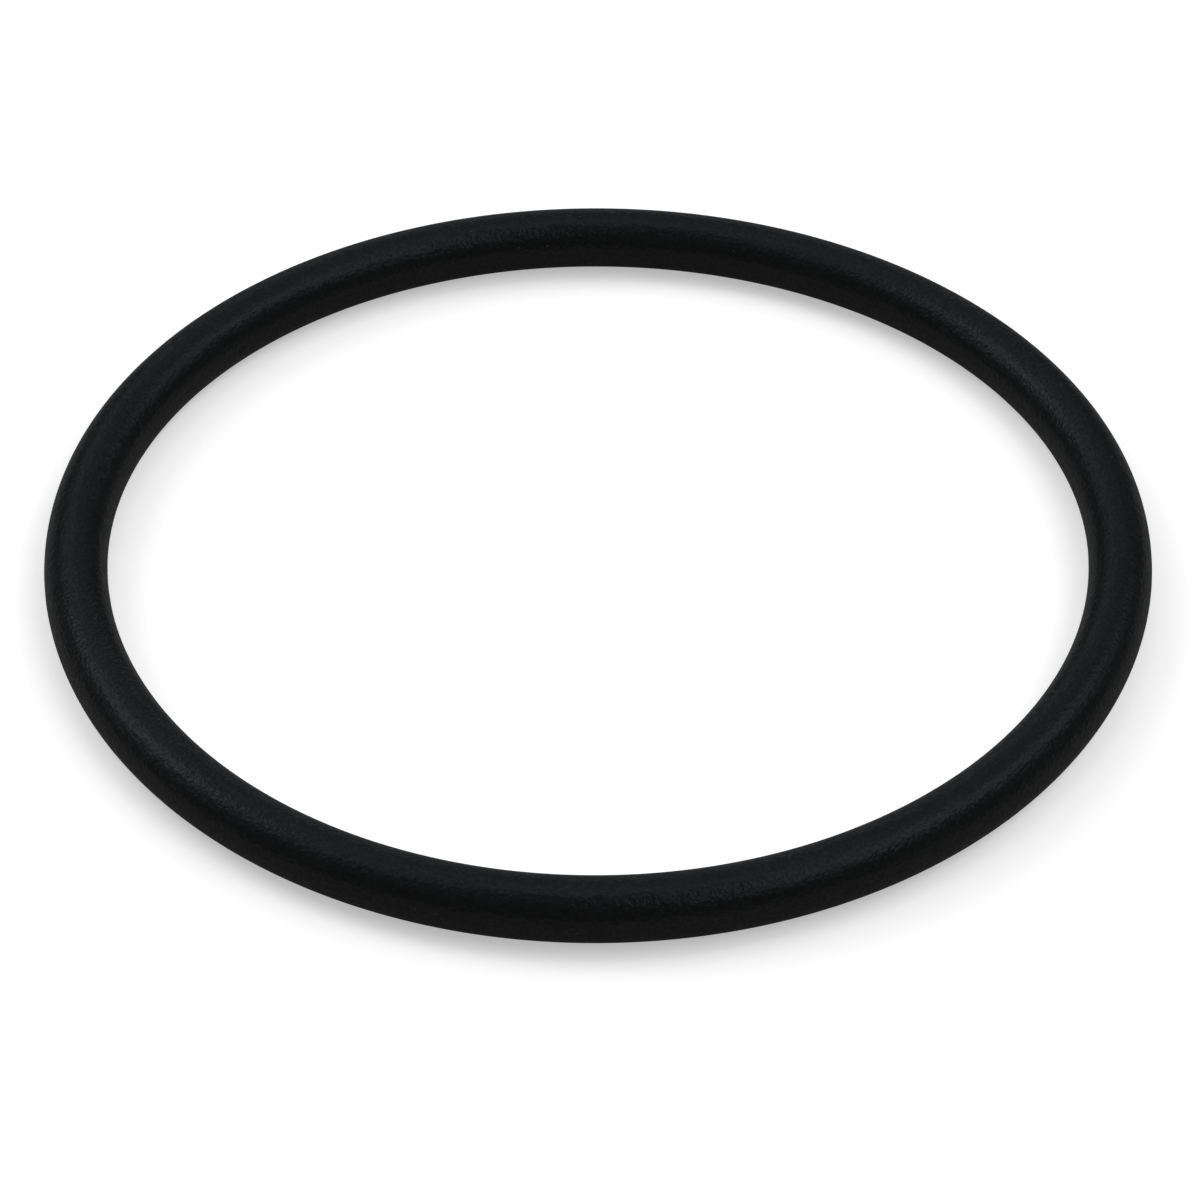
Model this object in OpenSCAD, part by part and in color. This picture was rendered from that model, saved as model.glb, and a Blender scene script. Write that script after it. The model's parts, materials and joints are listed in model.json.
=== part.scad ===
// Rubber o-ring: a closed loop of round rubber cord, moulded in one piece.
// It lies flat. The origin is the middle of its footprint and +Z is the axis of the ring.
// The mould parts at half the height of the section, where the trimmed flash leaves a
// fine line round the inside and the outside of the ring.

/* [Ring] */
// Inside diameter of the free ring, to the round section
inside_d = 78; // [40:0.5:160]
// Diameter of the round section
section_d = 5; // [3:0.1:8]

/* [Moulding line] */
// How far the line stands proud of the round section
line_h = 0.03; // [0.01:0.01:0.05]
// Width of the flat land that trimming leaves on the line
line_land_w = 0.2; // [0.1:0.05:0.4]
// Angle in degrees between the line's flanks and the axis of the ring
line_flank_a = 30; // [30:5:60]

/* [Hidden] */
$fn = 96;

section_r = section_d / 2;
// Radius of the circle that the middle of the section follows
ring_r = inside_d / 2 + section_r;
// Half the land's width, and how far the land stands from the middle of the section
land_half = line_land_w / 2;
land_x = section_r + line_h;
// The flanks run on past the section's skin, so that the line's foot ends inside the rubber
flank_run = 0.3 * section_r;
foot_half = land_half + flank_run;
foot_x = land_x - flank_run * tan(line_flank_a);

// Both moulding lines as one bar across the section: only its ends reach out of the round
module moulding_lines() {
    polygon([
        [land_x, -land_half],
        [land_x, land_half],
        [foot_x, foot_half],
        [-foot_x, foot_half],
        [-land_x, land_half],
        [-land_x, -land_half],
        [-foot_x, -foot_half],
        [foot_x, -foot_half],
    ]);
}

// The rubber's cross-section, round its own middle
module section() {
    circle(r = section_r);
    moulding_lines();
}

// The whole ring: the section carried once round the axis, resting on the surface below
module o_ring() {
    color([0.09, 0.09, 0.1])
        translate([0, 0, section_r])
            rotate_extrude()
                translate([ring_r, 0])
                    section();
}

o_ring();
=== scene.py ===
# %% [markdown]
# # A rubber o-ring, dressed for its portrait
#
# A free o-ring is one loop of black rubber cord, moulded whole between two halves of a
# polished mould. What the eye gets from it is small: a round section, a soft satin band of
# light along the top, a thin parting line at half height, and a fine grain in the skin.
# The imported CAD model is loaded first, because it fixes the ring's size and place.

# %% Load the frame
import json
import math

import bpy
import numpy as np
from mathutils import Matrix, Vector


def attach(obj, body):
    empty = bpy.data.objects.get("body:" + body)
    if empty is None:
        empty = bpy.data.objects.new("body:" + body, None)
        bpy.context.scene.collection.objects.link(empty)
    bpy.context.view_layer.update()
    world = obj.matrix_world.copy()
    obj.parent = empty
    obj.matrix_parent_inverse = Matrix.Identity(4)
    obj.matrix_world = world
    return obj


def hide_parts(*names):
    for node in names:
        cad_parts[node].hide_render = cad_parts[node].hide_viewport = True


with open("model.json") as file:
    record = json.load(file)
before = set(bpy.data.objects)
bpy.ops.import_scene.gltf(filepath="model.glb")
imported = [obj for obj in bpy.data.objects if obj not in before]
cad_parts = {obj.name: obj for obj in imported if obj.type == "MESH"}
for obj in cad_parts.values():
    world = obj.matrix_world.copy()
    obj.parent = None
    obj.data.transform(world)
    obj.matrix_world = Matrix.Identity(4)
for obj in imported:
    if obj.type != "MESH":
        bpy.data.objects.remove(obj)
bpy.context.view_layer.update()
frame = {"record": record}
MM = 0.001

# %% [markdown]
# ## Sizes
#
# The looks may not change the part, so no size is typed in twice. The record's two seats say
# how far the parting line reaches inside and outside, and how high it runs. The ring lies on
# the floor, so that height is also the cord's own radius. The rest follows from these three
# numbers. Measuring the CAD mesh would be less exact, because its round section is cut into
# flats.

# %% Sizes from the record
seats = {seat["name"]: seat for seat in frame["record"]["mounts"]}
INNER_REACH = seats["inner_seat"]["dims"]["r_mm"] * MM
OUTER_REACH = seats["outer_seat"]["dims"]["r_mm"] * MM
LAND_WIDTH = seats["outer_seat"]["dims"]["length_mm"] * MM
CORD_RADIUS = seats["outer_seat"]["pos_m"][2]
RING_RADIUS = (INNER_REACH + OUTER_REACH) / 2
LINE_HEIGHT = (OUTER_REACH - INNER_REACH) / 2 - CORD_RADIUS
print(f"ring radius {RING_RADIUS / MM:.2f} mm, cord radius {CORD_RADIUS / MM:.2f} mm")
print(f"parting line {LINE_HEIGHT / MM:.3f} mm proud, {LAND_WIDTH / MM:.2f} mm wide")

# %% [markdown]
# ## How a free ring lies
#
# Rubber keeps a little of the way it was packed, so a free ring is never a true circle. This
# one is drawn out at three places by about an eighth of a millimetre. One cosine with three
# waves to the turn says that exactly, and it meets itself with no seam.

# %% Middle line of the cord
LOBES = 3
LOBE_DEPTH = 0.0031 * RING_RADIUS
LOBE_TURN = math.radians(21.7)


def middle_radius(turn):
    """Distance from the axis to the cord's middle line: ring radius + depth * cos(3 * (turn - start))."""
    return RING_RADIUS + LOBE_DEPTH * np.cos(LOBES * (turn - LOBE_TURN))


print(f"the free ring is {LOBE_DEPTH / MM:.2f} mm out of round")

# %% [markdown]
# ## The trimmed parting line
#
# Where the mould halves meet, rubber creeps out as a thin film called flash. It is tumbled or
# torn away, and leaves a low ridge with a flat land that is never quite even. In the
# photograph it can hardly be made out. The line is cut into the section itself, not laid on as
# a second piece, because on the real ring it is the same rubber. Its height wanders along the
# ring: low nearly everywhere, with a few nibs that reach the CAD model's height and never go
# past it, so the ring still meets its seats.

# %% Height of the line along the ring
LEAST_TRIM = 0.12
TRIM_SEED = 7
FEWEST_WAVES, MOST_WAVES = 9, 149
rng = np.random.default_rng(TRIM_SEED)
TRIM_WAVES = np.arange(FEWEST_WAVES, MOST_WAVES + 1)
TRIM_SIZES = rng.normal(0, 1, TRIM_WAVES.size) / np.sqrt(TRIM_WAVES)
TRIM_STARTS = rng.uniform(0, 2 * np.pi, TRIM_WAVES.size)


def line_height(turn):
    """Height of the ridge: a sum of sines with whole waves to the turn, brought to 0 to 1, cubed so that
    high places are rare, and scaled between a least and the full height."""
    waves = TRIM_SIZES * np.sin(TRIM_WAVES * turn[..., None] + TRIM_STARTS)
    rough = waves.sum(-1)
    share = (rough - rough.min()) / np.ptp(rough)
    return LINE_HEIGHT * (LEAST_TRIM + (1 - LEAST_TRIM) * share**3)


sample = line_height(np.linspace(0, 2 * np.pi, 1000))
print(f"the line stands {sample.min() / MM:.3f} to {sample.max() / MM:.3f} mm proud")

# %% [markdown]
# ## The section
#
# Seen end on, the cord is a circle with a ridge at each side. In polar form round its own
# middle it is one function: at each angle the skin is the farthest of the circle and the
# ridge, and the ridge is the nearest of its land and its flanks. One formula keeps land,
# flank and round in step, however much the trim wanders.

# %% Reach of the skin round the section
FLANK_ANGLE = math.radians(30)
FLANK_SLOPE = math.tan(FLANK_ANGLE)


def skin_reach(angle, height):
    """Distance from the middle of the section to its skin, at an angle from the outside, for a ridge of
    some height. land = land distance / |cos|; flank = (land distance + half width * slope) / (|cos| +
    slope * |sin|); reach = max(cord radius, min(land, flank)) beside the line, and the cord radius
    everywhere else."""
    across, along = np.abs(np.cos(angle)), np.abs(np.sin(angle))
    land_distance = CORD_RADIUS + height
    land = land_distance / np.maximum(across, 1e-6)
    flank = (land_distance + LAND_WIDTH / 2 * FLANK_SLOPE) / (across + FLANK_SLOPE * along)
    beside_line = along < FLANK_SLOPE * across
    return np.where(beside_line, np.maximum(CORD_RADIUS, np.minimum(land, flank)), CORD_RADIUS)


at_line, at_top = skin_reach(np.array([0, math.pi / 2]), LINE_HEIGHT) / MM
print(f"the skin is {at_line:.2f} mm from the middle at the line and {at_top:.2f} mm at the top")


# %% Angles at which the skin has its rows
EVEN_ROWS = 88
CLEAR_OF_RIDGE = 1.2
RIDGE_ROWS = np.radians([0.0, 1.1, 2.0, 2.26, 2.5, 2.9, 3.3, 3.6, 3.9, 4.4])
ridge_side = np.concatenate([-RIDGE_ROWS, RIDGE_ROWS])
even = np.linspace(0, 2 * np.pi, EVEN_ROWS, endpoint=False)
far_from_ridge = np.abs(np.sin(even)) > math.sin(CLEAR_OF_RIDGE * RIDGE_ROWS.max())
section_angles = np.concatenate([even[far_from_ridge], ridge_side, math.pi + ridge_side])
section_angles = np.unique(np.round(section_angles % (2 * np.pi), 6))
print(len(section_angles), "rows round the section, closest together at the parting lines")

# %% [markdown]
# ## Carrying the section round
#
# A torus primitive would have no parting line, and a curve with a bevel can't let the line
# wander. So the skin is worked out as a surface of two parameters, the turn round the ring and
# the angle round the section, all points at once as numpy arrays. Both parameters close on
# themselves, so there is no seam and no pole to stitch.

# %% The skin as a function
def ring_skin(turn, angle):
    """Point of the skin: out = middle radius + reach * cos angle, x = out * cos turn, y = out * sin turn,
    z = cord radius + reach * sin angle."""
    reach = skin_reach(angle, line_height(turn[:, 0])[:, None])
    out = middle_radius(turn) + reach * np.cos(angle)
    return np.stack([out * np.cos(turn), out * np.sin(turn), CORD_RADIUS + reach * np.sin(angle)], -1)


# %% A closed mesh from a grid that meets itself both ways
def closed_grid_mesh(name, points):
    """Mesh of a grid of points whose last row and column join the first. Faces run turn first, so they
    point outwards."""
    turns, rounds = points.shape[:2]
    i, j = np.meshgrid(np.arange(turns), np.arange(rounds), indexing="ij")
    step_i = np.stack([i, i + 1, i + 1, i], -1)
    step_j = np.stack([j, j, j + 1, j + 1], -1)
    faces = (step_i % turns) * rounds + step_j % rounds
    mesh = bpy.data.meshes.new(name)
    mesh.from_pydata(points.reshape(-1, 3), [], faces.reshape(-1, 4))
    flat_map = mesh.uv_layers.new(name="unrolled")
    corners = np.stack([step_i / turns, step_j / rounds], -1)
    flat_map.data.foreach_set("uv", corners.reshape(-1).astype(np.float32))
    mesh.polygons.foreach_set("use_smooth", np.ones(len(mesh.polygons), dtype=bool))
    mesh.update()
    return mesh


# %% The ring
TURNS = 800
turn_grid, angle_grid = np.meshgrid(
    np.linspace(0, 2 * np.pi, TURNS, endpoint=False), section_angles, indexing="ij"
)
skin_points = ring_skin(turn_grid, angle_grid)
ring_mesh = closed_grid_mesh("rubber_ring", skin_points)
ring = bpy.data.objects.new("rubber_ring", ring_mesh)
bpy.context.scene.collection.objects.link(ring)
print("rubber ring:", len(ring_mesh.vertices), "points,", 2 * len(ring_mesh.polygons), "triangles")

# %% [markdown]
# ## Directions that follow the cord
#
# Some marks run along the cord: the turning marks of the mould, and the scuffs from being
# drawn out of a bag. A flat map has a seam where it meets itself. Two circles have none, so
# each point keeps its place on both, one as large as the ring and one as large as the cord,
# and a texture with four coordinates can follow them. Making the first circle smaller in the
# material draws a pattern out along the ring. The parting line is marked as well, because torn
# rubber is rougher: in full where it stands at least 0.3 of its full height, and less below.

# %% Lay of the cord, stored on the skin
def store_vectors(mesh, name, vectors):
    """Keeps one vector for each vertex under a plain name, for the material to read."""
    layer = mesh.attributes.new(name=name, type="FLOAT_VECTOR", domain="POINT")
    layer.data.foreach_set("vector", vectors.reshape(-1).astype(np.float32))


def store_numbers(mesh, name, numbers):
    """Keeps one number for each vertex under a plain name."""
    layer = mesh.attributes.new(name=name, type="FLOAT", domain="POINT")
    layer.data.foreach_set("value", numbers.reshape(-1).astype(np.float32))


TORN_FROM = 0.3
lay = np.stack(
    [
        RING_RADIUS * np.cos(turn_grid),
        RING_RADIUS * np.sin(turn_grid),
        CORD_RADIUS * np.cos(angle_grid),
    ],
    -1,
)
store_vectors(ring_mesh, "lay", lay)
store_numbers(ring_mesh, "lay_height", CORD_RADIUS * np.sin(angle_grid))
ridge_depth = skin_reach(angle_grid, line_height(turn_grid[:, 0])[:, None]) - CORD_RADIUS
store_numbers(ring_mesh, "parting_line", np.clip(ridge_depth / (TORN_FROM * LINE_HEIGHT), 0, 1))
print("stored on the skin: lay, lay_height and parting_line")

# %% [markdown]
# ## The rubber
#
# Moulded nitrile rubber is close to black in itself. What shows is its skin: satin, not
# glossy, with a fine pebbled grain from the mould's blasted steel, so the band of light breaks
# up into small flecks. The finish is built from the coarsest mark to the finest, each as its
# own short function that returns one number for each place on the skin. A bitmap would be
# simpler, but would have one fixed scale and a seam.

# %% Node helpers
def add_node(tree, kind, **settings):
    """Adds a shader node and sets its plain properties."""
    node = tree.nodes.new(kind)
    for key, value in settings.items():
        setattr(node, key, value)
    return node


def feed(tree, socket, value):
    """Joins a socket to another node's output, or sets it to a number or colour."""
    if isinstance(value, bpy.types.NodeSocket):
        tree.links.new(value, socket)
    else:
        socket.default_value = value


def arithmetic(tree, operation, first, second=0.0, third=0.0):
    """One step of arithmetic on numbers or sockets."""
    node = add_node(tree, "ShaderNodeMath", operation=operation)
    for socket, value in zip(node.inputs, (first, second, third)):
        feed(tree, socket, value)
    return node.outputs[0]


def ramp(tree, value, low, high):
    """0 below low, 1 above high, and a smooth step between."""
    node = add_node(tree, "ShaderNodeMapRange", interpolation_type="SMOOTHSTEP")
    feed(tree, node.inputs["Value"], value)
    node.inputs["From Min"].default_value = low
    node.inputs["From Max"].default_value = high
    return node.outputs["Result"]


def blend_number(tree, share, start, end):
    """start where share is 0, end where it is 1."""
    node = add_node(tree, "ShaderNodeMapRange")
    feed(tree, node.inputs["Value"], share)
    feed(tree, node.inputs["To Min"], start)
    feed(tree, node.inputs["To Max"], end)
    return node.outputs["Result"]


def cloud(tree, place, size, detail=2.0, roughness=0.5, fourth=None):
    """Soft random pattern from 0 to 1 whose patches are about size across, in metres."""
    node = add_node(tree, "ShaderNodeTexNoise", noise_dimensions="3D" if fourth is None else "4D")
    feed(tree, node.inputs["Vector"], place)
    node.inputs["Scale"].default_value = 1 / size
    node.inputs["Detail"].default_value = detail
    node.inputs["Roughness"].default_value = roughness
    if fourth is not None:
        feed(tree, node.inputs["W"], fourth)
    return node.outputs[0]


# %% Where a mark is read: in the solid, or along the cord
rubber = bpy.data.materials.new("moulded_black_rubber")
rubber.use_nodes = True
tree = rubber.node_tree
tree.nodes.clear()
solid_place = add_node(tree, "ShaderNodeTexCoord").outputs["Object"]
lay_place = add_node(tree, "ShaderNodeAttribute", attribute_name="lay").outputs["Vector"]
lay_height = add_node(tree, "ShaderNodeAttribute", attribute_name="lay_height").outputs["Fac"]
on_line = add_node(tree, "ShaderNodeAttribute", attribute_name="parting_line").outputs["Fac"]
print("marks are read in the solid, along the cord, or on the parting line")

# %% The cord's own coordinates, drawn out
def drawn_out(tree, times):
    """Lay coordinates in which a pattern comes out this many times longer along the ring: the ring's circle
    is made that many times smaller, and the cord's circle stays."""
    node = add_node(tree, "ShaderNodeVectorMath", operation="MULTIPLY")
    feed(tree, node.inputs[0], lay_place)
    node.inputs[1].default_value = (1 / times, 1 / times, 1)
    return node.outputs["Vector"]


# %% [markdown]
# ### Grain
#
# The pebbles of the grain are about a quarter of a millimetre across, as in the photograph,
# and lie over a slow swell of about a millimetre. They stand a few hundredths of a millimetre
# high: enough to break the highlight into flecks, too little for the outline, so they are
# relief in the finish and not in the mesh.

# %% Grain of the mould
PEBBLE_SIZE = 0.28 * MM
PEBBLE_HEIGHT = 0.074 * MM
PEBBLE_DRAW = 1.1
SWELL_SIZE = 1.0 * MM
SWELL_HEIGHT = 0.042 * MM
SWELL_DRAW = 1.8
pebble_place = drawn_out(tree, PEBBLE_DRAW)
pebbles = cloud(tree, pebble_place, PEBBLE_SIZE, detail=1.0, roughness=0.6, fourth=lay_height)
swell = cloud(tree, drawn_out(tree, SWELL_DRAW), SWELL_SIZE, detail=1.0, fourth=lay_height)
pebble_height = arithmetic(tree, "MULTIPLY", pebbles, PEBBLE_HEIGHT)
swell_height = arithmetic(tree, "MULTIPLY", swell, SWELL_HEIGHT)
grain_height = arithmetic(tree, "ADD", pebble_height, swell_height)
print(f"pebbles of {PEBBLE_SIZE / MM:.2f} mm over a swell of {SWELL_SIZE / MM:.1f} mm")

# %% [markdown]
# ### Marks along the cord
#
# The mould's groove is cut on a lathe, and the last pass leaves hair lines that run round the
# ring. They are read along the cord with the four coordinates of the lay, and are fainter
# than the grain.

# %% Turning marks and scuffs
TURNING_SIZE = 0.22 * MM
TURNING_HEIGHT = 0.007 * MM
TURNING_DRAW = 12.0
SCUFF_SIZE = 0.16 * MM
SCUFF_DEPTH = 0.006 * MM
SCUFF_DRAW = 16.0
SCUFF_EDGES = (0.66, 0.78)
HANDLED_SIZE = 9 * MM
HANDLED_EDGES = (0.45, 0.65)
turning = cloud(tree, drawn_out(tree, TURNING_DRAW), TURNING_SIZE, detail=1.0, fourth=lay_height)
scuff_cloud = cloud(tree, drawn_out(tree, SCUFF_DRAW), SCUFF_SIZE, detail=0.0, fourth=lay_height)
handled = cloud(tree, solid_place, HANDLED_SIZE, detail=1.0)
scuff_lines = ramp(tree, scuff_cloud, *SCUFF_EDGES)
scuffs = arithmetic(tree, "MULTIPLY", scuff_lines, ramp(tree, handled, *HANDLED_EDGES))
print("turning marks all round, scuffs only where the ring was handled")

# %% [markdown]
# ### Dust
#
# Black rubber holds dust. A cell pattern gives each speck its own place, and only the cells
# whose random number is high keep theirs, so the specks stay rare. A speck's radius is given
# as a share of the spacing of the cells.

# %% Dust specks
SPECK_SPACING = 1.3 * MM
SPECK_RADIUS = 0.055
KEPT_ABOVE = 0.72
cells = add_node(tree, "ShaderNodeTexVoronoi", feature="F1")
feed(tree, cells.inputs["Vector"], solid_place)
cells.inputs["Scale"].default_value = 1 / SPECK_SPACING
chosen = add_node(tree, "ShaderNodeSeparateColor")
feed(tree, chosen.inputs[0], cells.outputs["Color"])
inside = arithmetic(tree, "LESS_THAN", cells.outputs["Distance"], SPECK_RADIUS)
kept = arithmetic(tree, "GREATER_THAN", chosen.outputs[0], KEPT_ABOVE)
specks = arithmetic(tree, "MULTIPLY", inside, kept)
print(f"specks of {2 * SPECK_RADIUS * SPECK_SPACING / MM:.2f} mm in {1 - KEPT_ABOVE:.0%} of the cells")

# %% [markdown]
# ### Colour
#
# Rubber filled with soot sends back about one part in a hundred of the light. The colour is painted darker
# in the hollows of the grain than on its tops, and the turning marks show as faint lines of the same two
# blacks: painted shade over a tone that differs at random. Both come from the clouds that already make the
# relief, so the painted shade and the relief agree on where a pebble is.

# %% Colour of the rubber
RUBBER_BLACK = (0.0074, 0.0074, 0.0074, 1)
RUBBER_GREY = (0.0100, 0.0100, 0.0100, 1)
DUST_GREY = (0.045, 0.044, 0.042, 1)


def blend_colour(tree, share, start, end):
    """start colour where share is 0, end colour where it is 1."""
    node = add_node(tree, "ShaderNodeMix", data_type="RGBA")
    feed(tree, node.inputs["Factor"], share)
    feed(tree, node.inputs["A"], start)
    feed(tree, node.inputs["B"], end)
    return node.outputs["Result"]


TURNING_SHARE = 0.3
SCUFF_SHARE = 0.5
TONE_AND_SHADE_EDGES = (0.32, 0.68)
# Painted shade: the colour is darker where the grain and the turning marks are low, and paler on their
# tops.
pebble_tone_and_shade = ramp(tree, pebbles, *TONE_AND_SHADE_EDGES)
turning_tone_and_shade = ramp(tree, turning, *TONE_AND_SHADE_EDGES)
tone_and_painted_shade = blend_number(tree, TURNING_SHARE, pebble_tone_and_shade, turning_tone_and_shade)
skin_colour = blend_colour(tree, tone_and_painted_shade, RUBBER_BLACK, RUBBER_GREY)
paler = arithmetic(tree, "MULTIPLY", scuffs, SCUFF_SHARE)
skin_colour = blend_colour(tree, paler, skin_colour, RUBBER_GREY)
skin_colour = blend_colour(tree, specks, skin_colour, DUST_GREY)
print(f"the rubber runs from {RUBBER_BLACK[0]} to {RUBBER_GREY[0]}, the dust is {DUST_GREY[0]}")

# %% [markdown]
# ### Shine
#
# The body of the rubber is matt. Its shine comes from the outermost skin alone, which took the
# polish of the mould, and the tops of the grain are rubbed smoother still. So the shine is one
# weak coat over a matt body, a little stronger on the tops. A broad gloss in the body would be
# simpler, but it lays a grey veil over the ring where the photograph shows small bright flecks.

# %% Roughness, shine and relief
LEAST_ROUGH, MOST_ROUGH = 0.45, 0.55
TORN_ROUGHER = 0.12
BLOOM_SIZE = 6 * MM
BLOOM_EDGES = (0.3, 0.7)
HOLLOW_SHINE = 0.113
TOP_SHINE = 0.155
TOP_EDGES = (0.42, 0.72)
bloom = cloud(tree, solid_place, BLOOM_SIZE, detail=2.0)
bloom_share = ramp(tree, bloom, *BLOOM_EDGES)
matt_patches = blend_number(tree, bloom_share, LEAST_ROUGH, MOST_ROUGH)
torn = arithmetic(tree, "MULTIPLY", on_line, TORN_ROUGHER)
skin_roughness = arithmetic(tree, "ADD", matt_patches, torn)
shine = blend_number(tree, ramp(tree, pebbles, *TOP_EDGES), HOLLOW_SHINE, TOP_SHINE)
marks_height = arithmetic(tree, "MULTIPLY", turning, TURNING_HEIGHT)
scuff_height = arithmetic(tree, "MULTIPLY", scuffs, -SCUFF_DEPTH)
relief = arithmetic(tree, "ADD", arithmetic(tree, "ADD", grain_height, marks_height), scuff_height)
print(f"coat of {HOLLOW_SHINE} in the hollows and {TOP_SHINE} on the tops of the grain")

# %% Shader of the rubber
COAT_ROUGHNESS = 0.24
bump = add_node(tree, "ShaderNodeBump")
bump.inputs["Strength"].default_value = 1.0
bump.inputs["Distance"].default_value = 1.0
feed(tree, bump.inputs["Height"], relief)
shader = add_node(tree, "ShaderNodeBsdfPrincipled")
feed(tree, shader.inputs["Base Color"], skin_colour)
feed(tree, shader.inputs["Roughness"], skin_roughness)
feed(tree, shader.inputs["Normal"], bump.outputs["Normal"])
shader.inputs["IOR"].default_value = 1.5
shader.inputs["Specular IOR Level"].default_value = 0.0
feed(tree, shader.inputs["Coat Weight"], shine)
shader.inputs["Coat IOR"].default_value = 1.5
shader.inputs["Coat Roughness"].default_value = COAT_ROUGHNESS
feed(tree, shader.inputs["Coat Normal"], bump.outputs["Normal"])
output = add_node(tree, "ShaderNodeOutputMaterial")
feed(tree, output.inputs["Surface"], shader.outputs[0])
ring_mesh.materials.append(rubber)
print("rubber finish:", len(tree.nodes), "nodes")

# %% Hand the ring to the frame
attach(ring, "root")
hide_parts("o_ring")
print("the ring stands for the CAD node o_ring")

# %% [markdown]
# ## The floor
#
# The photograph has a white sweep with nothing on it but the ring's short, soft shadow. The
# floor is a pale diffuse sheet, so it takes the shadow, and a share of plain white is added to
# it for the camera. Reflections get half of that share, which brings the lit floor to about
# white in them too. The share puts no more light on the ring.

# %% Where the white is seen
def seen_white(tree, mirrored_share):
    """1 for the camera, this share for reflections and for what is seen through glass, and 0 for the light
    that falls on the ring."""
    ray = add_node(tree, "ShaderNodeLightPath")
    mirrored = arithmetic(tree, "MAXIMUM", ray.outputs["Is Glossy Ray"], ray.outputs["Is Transmission Ray"])
    in_mirrors = arithmetic(tree, "MULTIPLY", mirrored, mirrored_share)
    return arithmetic(tree, "MAXIMUM", ray.outputs["Is Camera Ray"], in_mirrors)


# %% Floor
FLOOR_HALF = 3.0
WHITE_SHARE = 0.45
MIRRORED_SHARE = 0.5
FLOOR_COLOUR = (0.742, 0.700, 0.656, 1)
floor_mesh = bpy.data.meshes.new("pale_floor")
floor_points = FLOOR_HALF * np.array([[-1, -1, 0], [1, -1, 0], [1, 1, 0], [-1, 1, 0]])
floor_mesh.from_pydata(floor_points, [], [(0, 1, 2, 3)])
floor = bpy.data.objects.new("pale_floor", floor_mesh)
bpy.context.scene.collection.objects.link(floor)

sheet = bpy.data.materials.new("pale_sheet")
sheet.use_nodes = True
tree = sheet.node_tree
tree.nodes.clear()
matte = add_node(tree, "ShaderNodeBsdfDiffuse")
matte.inputs["Color"].default_value = FLOOR_COLOUR
white = add_node(tree, "ShaderNodeEmission")
white_here = arithmetic(tree, "MULTIPLY", seen_white(tree, MIRRORED_SHARE), WHITE_SHARE)
feed(tree, white.inputs["Strength"], white_here)
both = add_node(tree, "ShaderNodeAddShader")
feed(tree, both.inputs[0], matte.outputs[0])
feed(tree, both.inputs[1], white.outputs[0])
output = add_node(tree, "ShaderNodeOutputMaterial")
feed(tree, output.inputs["Surface"], both.outputs[0])
floor_mesh.materials.append(sheet)
print(f"floor {2 * FLOOR_HALF:.0f} m across, colour {FLOOR_COLOUR[0]} with a white share of {WHITE_SHARE}")

# %% [markdown]
# ## The light
#
# The shadow is short and soft. It falls towards the camera, and about as far to the left as to
# the right, so the light is broad and comes from above and behind. The bands on the rubber say
# where the boxes stand: the bright streak is a box at the back left, the fainter one on the
# other side a box at the back right. Wide boxes at the sides, overhead and in front fill the
# rest. Each lamp is given by the brightness that a white card facing it would show, which
# keeps the whole at a plain level where a colour renders about as it is written.

# %% Soft boxes
LAMP_DISTANCE = 1.5


def soft_box(name, heading, height, width, depth, level, tint):
    """Area lamp aimed at the ring. heading and height are angles in degrees, from +X and from the floor.
    A lamp of P watts at a distance d makes a white card show P / (pi * d) ** 2, so
    P = level * (pi * d) ** 2."""
    data = bpy.data.lights.new(name, "AREA")
    data.shape = "RECTANGLE"
    data.size, data.size_y = width, depth
    data.color = tint
    data.energy = level * (math.pi * LAMP_DISTANCE) ** 2
    lamp = bpy.data.objects.new(name, data)
    a, e = math.radians(heading), math.radians(height)
    towards = Vector((math.cos(e) * math.cos(a), math.cos(e) * math.sin(a), math.sin(e)))
    lamp.location = LAMP_DISTANCE * towards
    lamp.rotation_euler = towards.to_track_quat("Z", "Y").to_euler()
    bpy.context.scene.collection.objects.link(lamp)
    return level * math.sin(e)


# %% The lamps
STUDIO_WHITE = (0.94, 1.0, 1.068)
# Name, heading and height in degrees, width and depth in metres, level.
LAMPS = (
    ("back_left_box", 149, 43, 0.65, 0.65, 0.240),
    ("low_left_box", 168, 28, 0.7, 0.5, 0.060),
    ("back_left_fill", 116, 36, 0.6, 0.6, 0.065),
    ("back_right_box", 32, 45, 0.7, 0.7, 0.150),
    ("back_box", 90, 45, 0.9, 0.6, 0.050),
    ("back_strip", 90, 14, 0.8, 0.35, 0.057),
    ("left_box", 180, 60, 0.8, 0.8, 0.105),
    ("right_box", 0, 60, 0.7, 0.7, 0.185),
    ("top_box", 90, 76, 0.8, 0.8, 0.150),
    ("front_fill", 315, 55, 0.7, 0.7, 0.140),
)
on_floor = sum(soft_box(*lamp, STUDIO_WHITE) for lamp in LAMPS)
print(f"{len(LAMPS)} lamps light a white floor to {on_floor:.2f}")

# %% [markdown]
# ## The room
#
# Round the lamps the studio is dim, and a dark grey world stands for it. At a low view the
# camera looks past the floor into that world, so Light Path makes it white to the camera, like
# the photograph's background. Reflections get only a small share of that white, because black
# rubber that mirrors a white room turns grey. A white wall behind the ring would be simpler,
# but it would be right from one side only.

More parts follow.
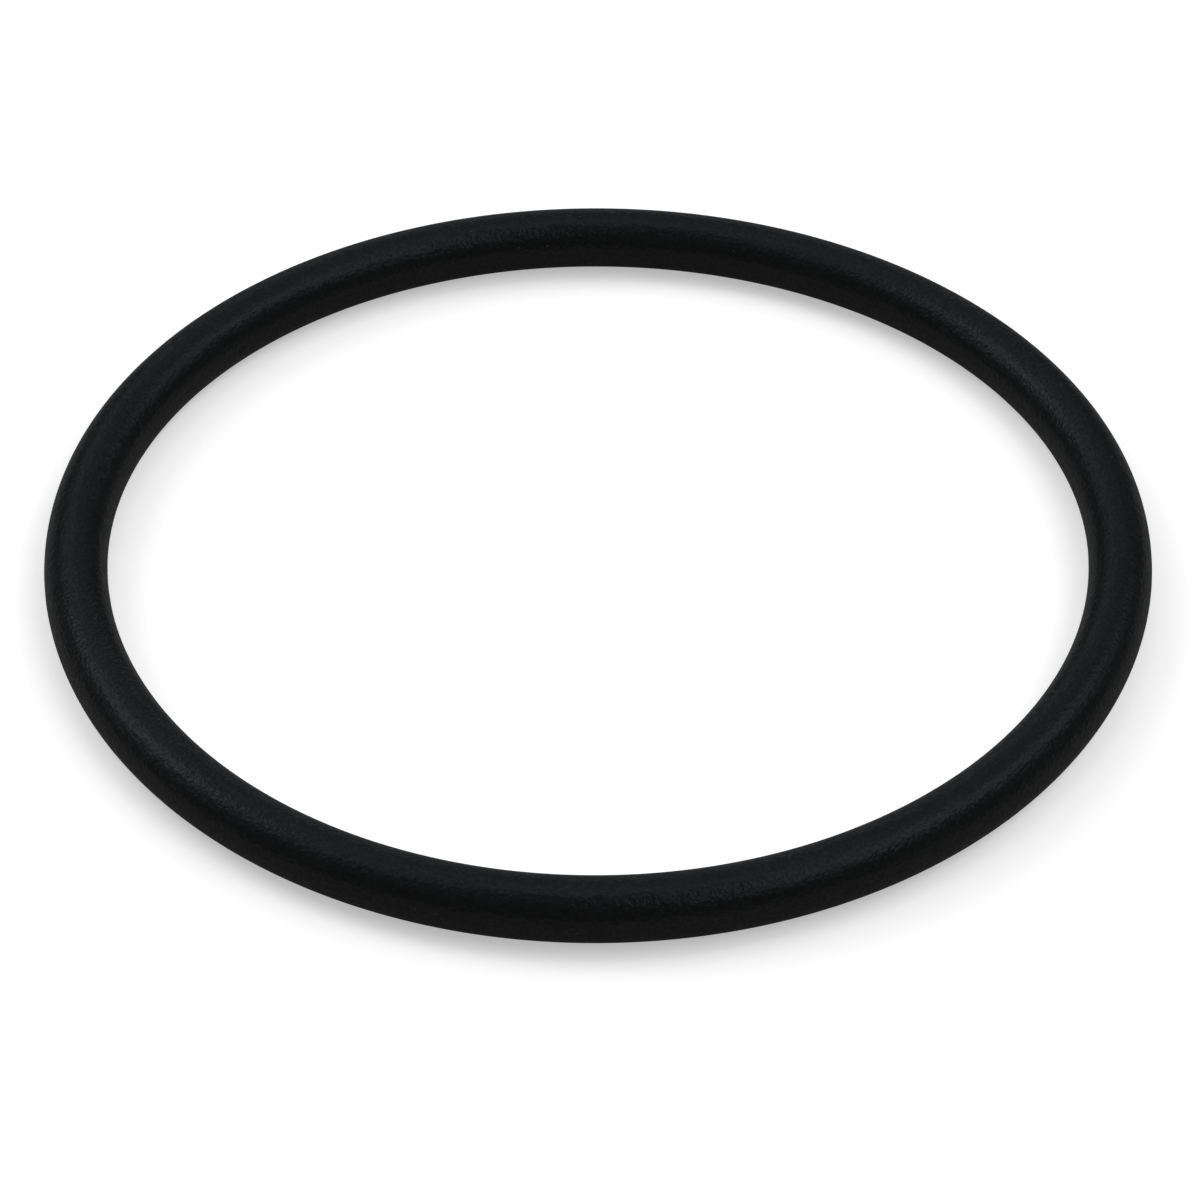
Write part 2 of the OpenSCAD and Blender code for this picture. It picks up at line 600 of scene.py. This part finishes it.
# %% The room
ROOM_GREY = 0.070
MIRRORED_ROOM = 0.04
world = bpy.data.worlds.new("studio_room")
world.use_nodes = True
bpy.context.scene.world = world
tree = world.node_tree
tree.nodes.clear()
room = add_node(tree, "ShaderNodeBackground")
room.inputs["Color"].default_value = (*STUDIO_WHITE, 1)
room.inputs["Strength"].default_value = ROOM_GREY
backdrop = add_node(tree, "ShaderNodeBackground")
backdrop.inputs["Strength"].default_value = 1.0
pick = add_node(tree, "ShaderNodeMixShader")
feed(tree, pick.inputs[0], seen_white(tree, MIRRORED_ROOM))
feed(tree, pick.inputs[1], room.outputs[0])
feed(tree, pick.inputs[2], backdrop.outputs[0])
output = add_node(tree, "ShaderNodeOutputWorld")
feed(tree, output.inputs["Surface"], pick.outputs[0])
print(f"the room adds {ROOM_GREY} from all round, and is white to the camera")

# %% [markdown]
# ## The camera
#
# The ring's outline in the photograph is an ellipse whose near side is wider than its far
# side. A pinhole camera fitted to both edges of that outline gives one answer: about 40
# degrees above the floor, ten ring radii away, through a long lens. The aim is a little short
# of the ring's middle, which places the ring in the frame with no shift.

# %% Camera
CAMERA_HEIGHT = math.radians(39.83)
CAMERA_DISTANCE = 9.803 * RING_RADIUS
LENS_MM = 153.2
SENSOR_MM = 36.0
NEAREST_SEEN = 10 * MM
AIM = Vector((0.0002, -0.0066, CORD_RADIUS))
camera_data = bpy.data.cameras.new("portrait_camera")
camera_data.lens = LENS_MM
camera_data.sensor_width = SENSOR_MM
camera_data.clip_start = NEAREST_SEEN
camera = bpy.data.objects.new("portrait_camera", camera_data)
ring_middle = Vector((0, 0, CORD_RADIUS))
towards_camera = Vector((0, -math.cos(CAMERA_HEIGHT), math.sin(CAMERA_HEIGHT)))
camera.location = ring_middle + CAMERA_DISTANCE * towards_camera
camera.rotation_euler = (camera.location - AIM).to_track_quat("Z", "Y").to_euler()
bpy.context.scene.collection.objects.link(camera)
bpy.context.scene.camera = camera
bpy.context.scene.view_settings.view_transform = "Standard"
print(f"camera {CAMERA_DISTANCE:.3f} m from the ring")
